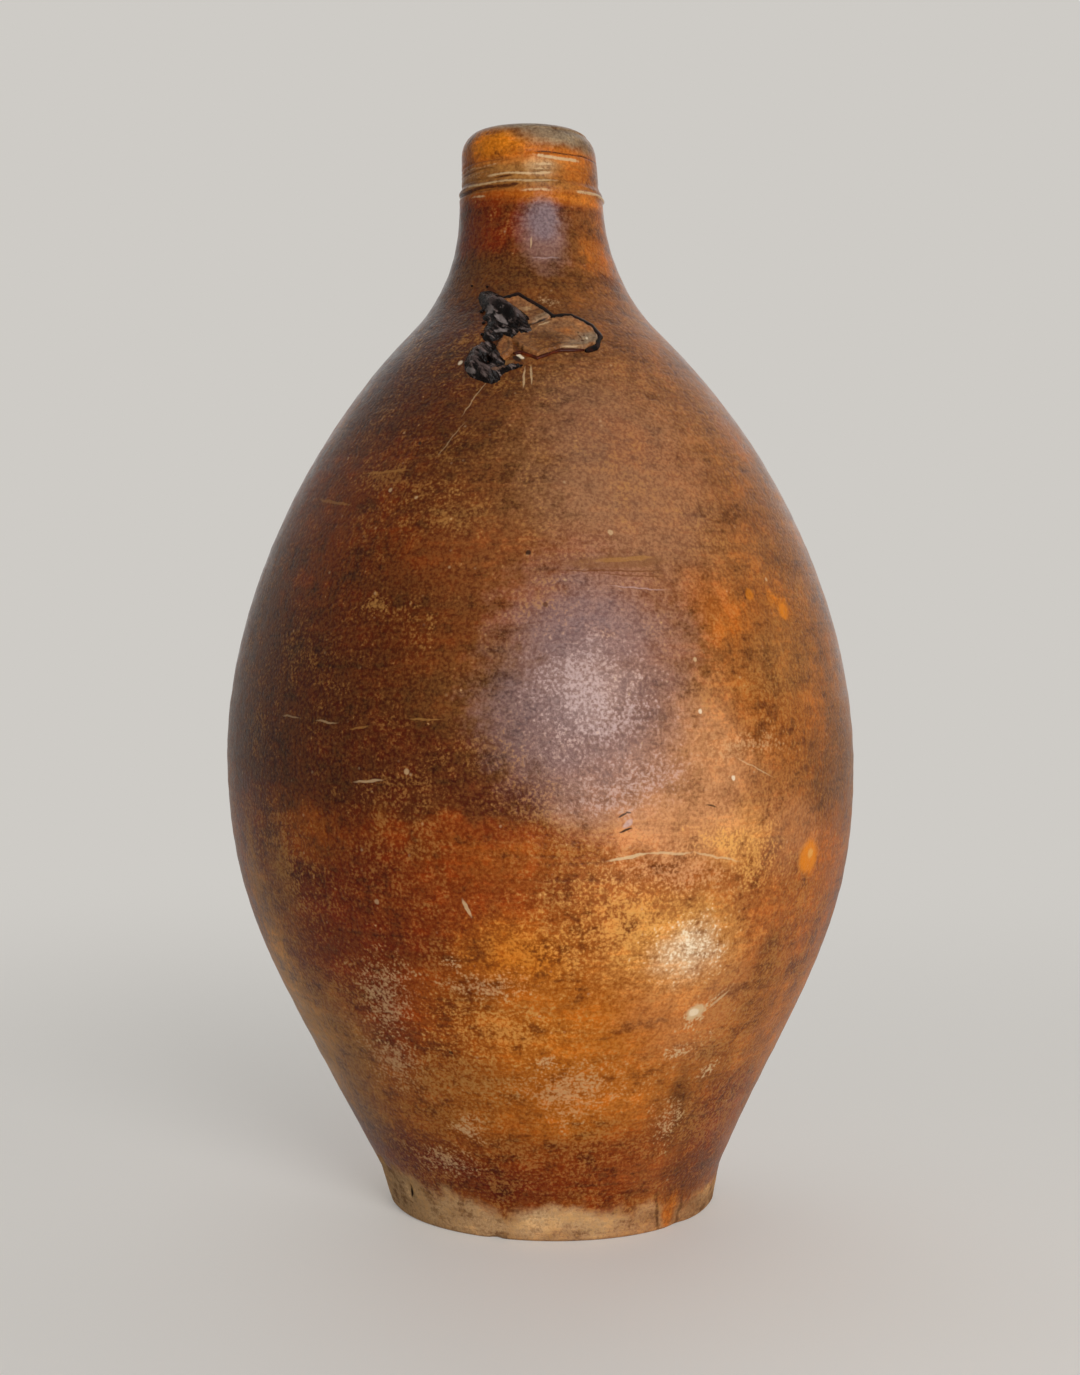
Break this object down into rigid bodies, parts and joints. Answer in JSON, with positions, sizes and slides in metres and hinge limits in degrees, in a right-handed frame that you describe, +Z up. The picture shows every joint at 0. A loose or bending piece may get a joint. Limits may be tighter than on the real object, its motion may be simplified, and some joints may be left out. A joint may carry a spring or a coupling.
{
  "type": "stoneware jug",
  "caption": "Tall egg-shaped salt-glazed stoneware jug with a narrow reeded neck, a rounded lip, a strap handle at the back and a flat foot.",
  "frame": {"origin": "on the standing plane, under the middle of the belly", "axes": "+Z up the jug; -Y towards the front, with the kiln scar on its shoulder; +Y towards the back, with the handle; +X to the right as seen from the front"},
  "size_m": [0.2342, 0.2342, 0.4],
  "materials": {
    "lower_glaze": "semi-gloss rust-brown salt glaze, mottled, thinning to bare tan clay at the foot",
    "upper_glaze": "semi-gloss grey-brown salt glaze with orange mottling",
    "collar_glaze": "semi-gloss brown salt glaze, orange-tan on the reeded collar",
    "handle_glaze": "semi-gloss brown salt glaze",
    "kiln_slag": "glassy black-brown kiln slag",
    "flake_glaze": "semi-gloss tan-brown salt glaze"
  },
  "bodies": {
    "root": {"lower_body": "lower_glaze", "upper_body": "upper_glaze", "neck_and_collar": "collar_glaze", "strap_handle": "handle_glaze", "kiln_slag_upper": "kiln_slag", "kiln_slag_lower": "kiln_slag", "kiln_flake": "flake_glaze"}
  },
  "joints": []
}
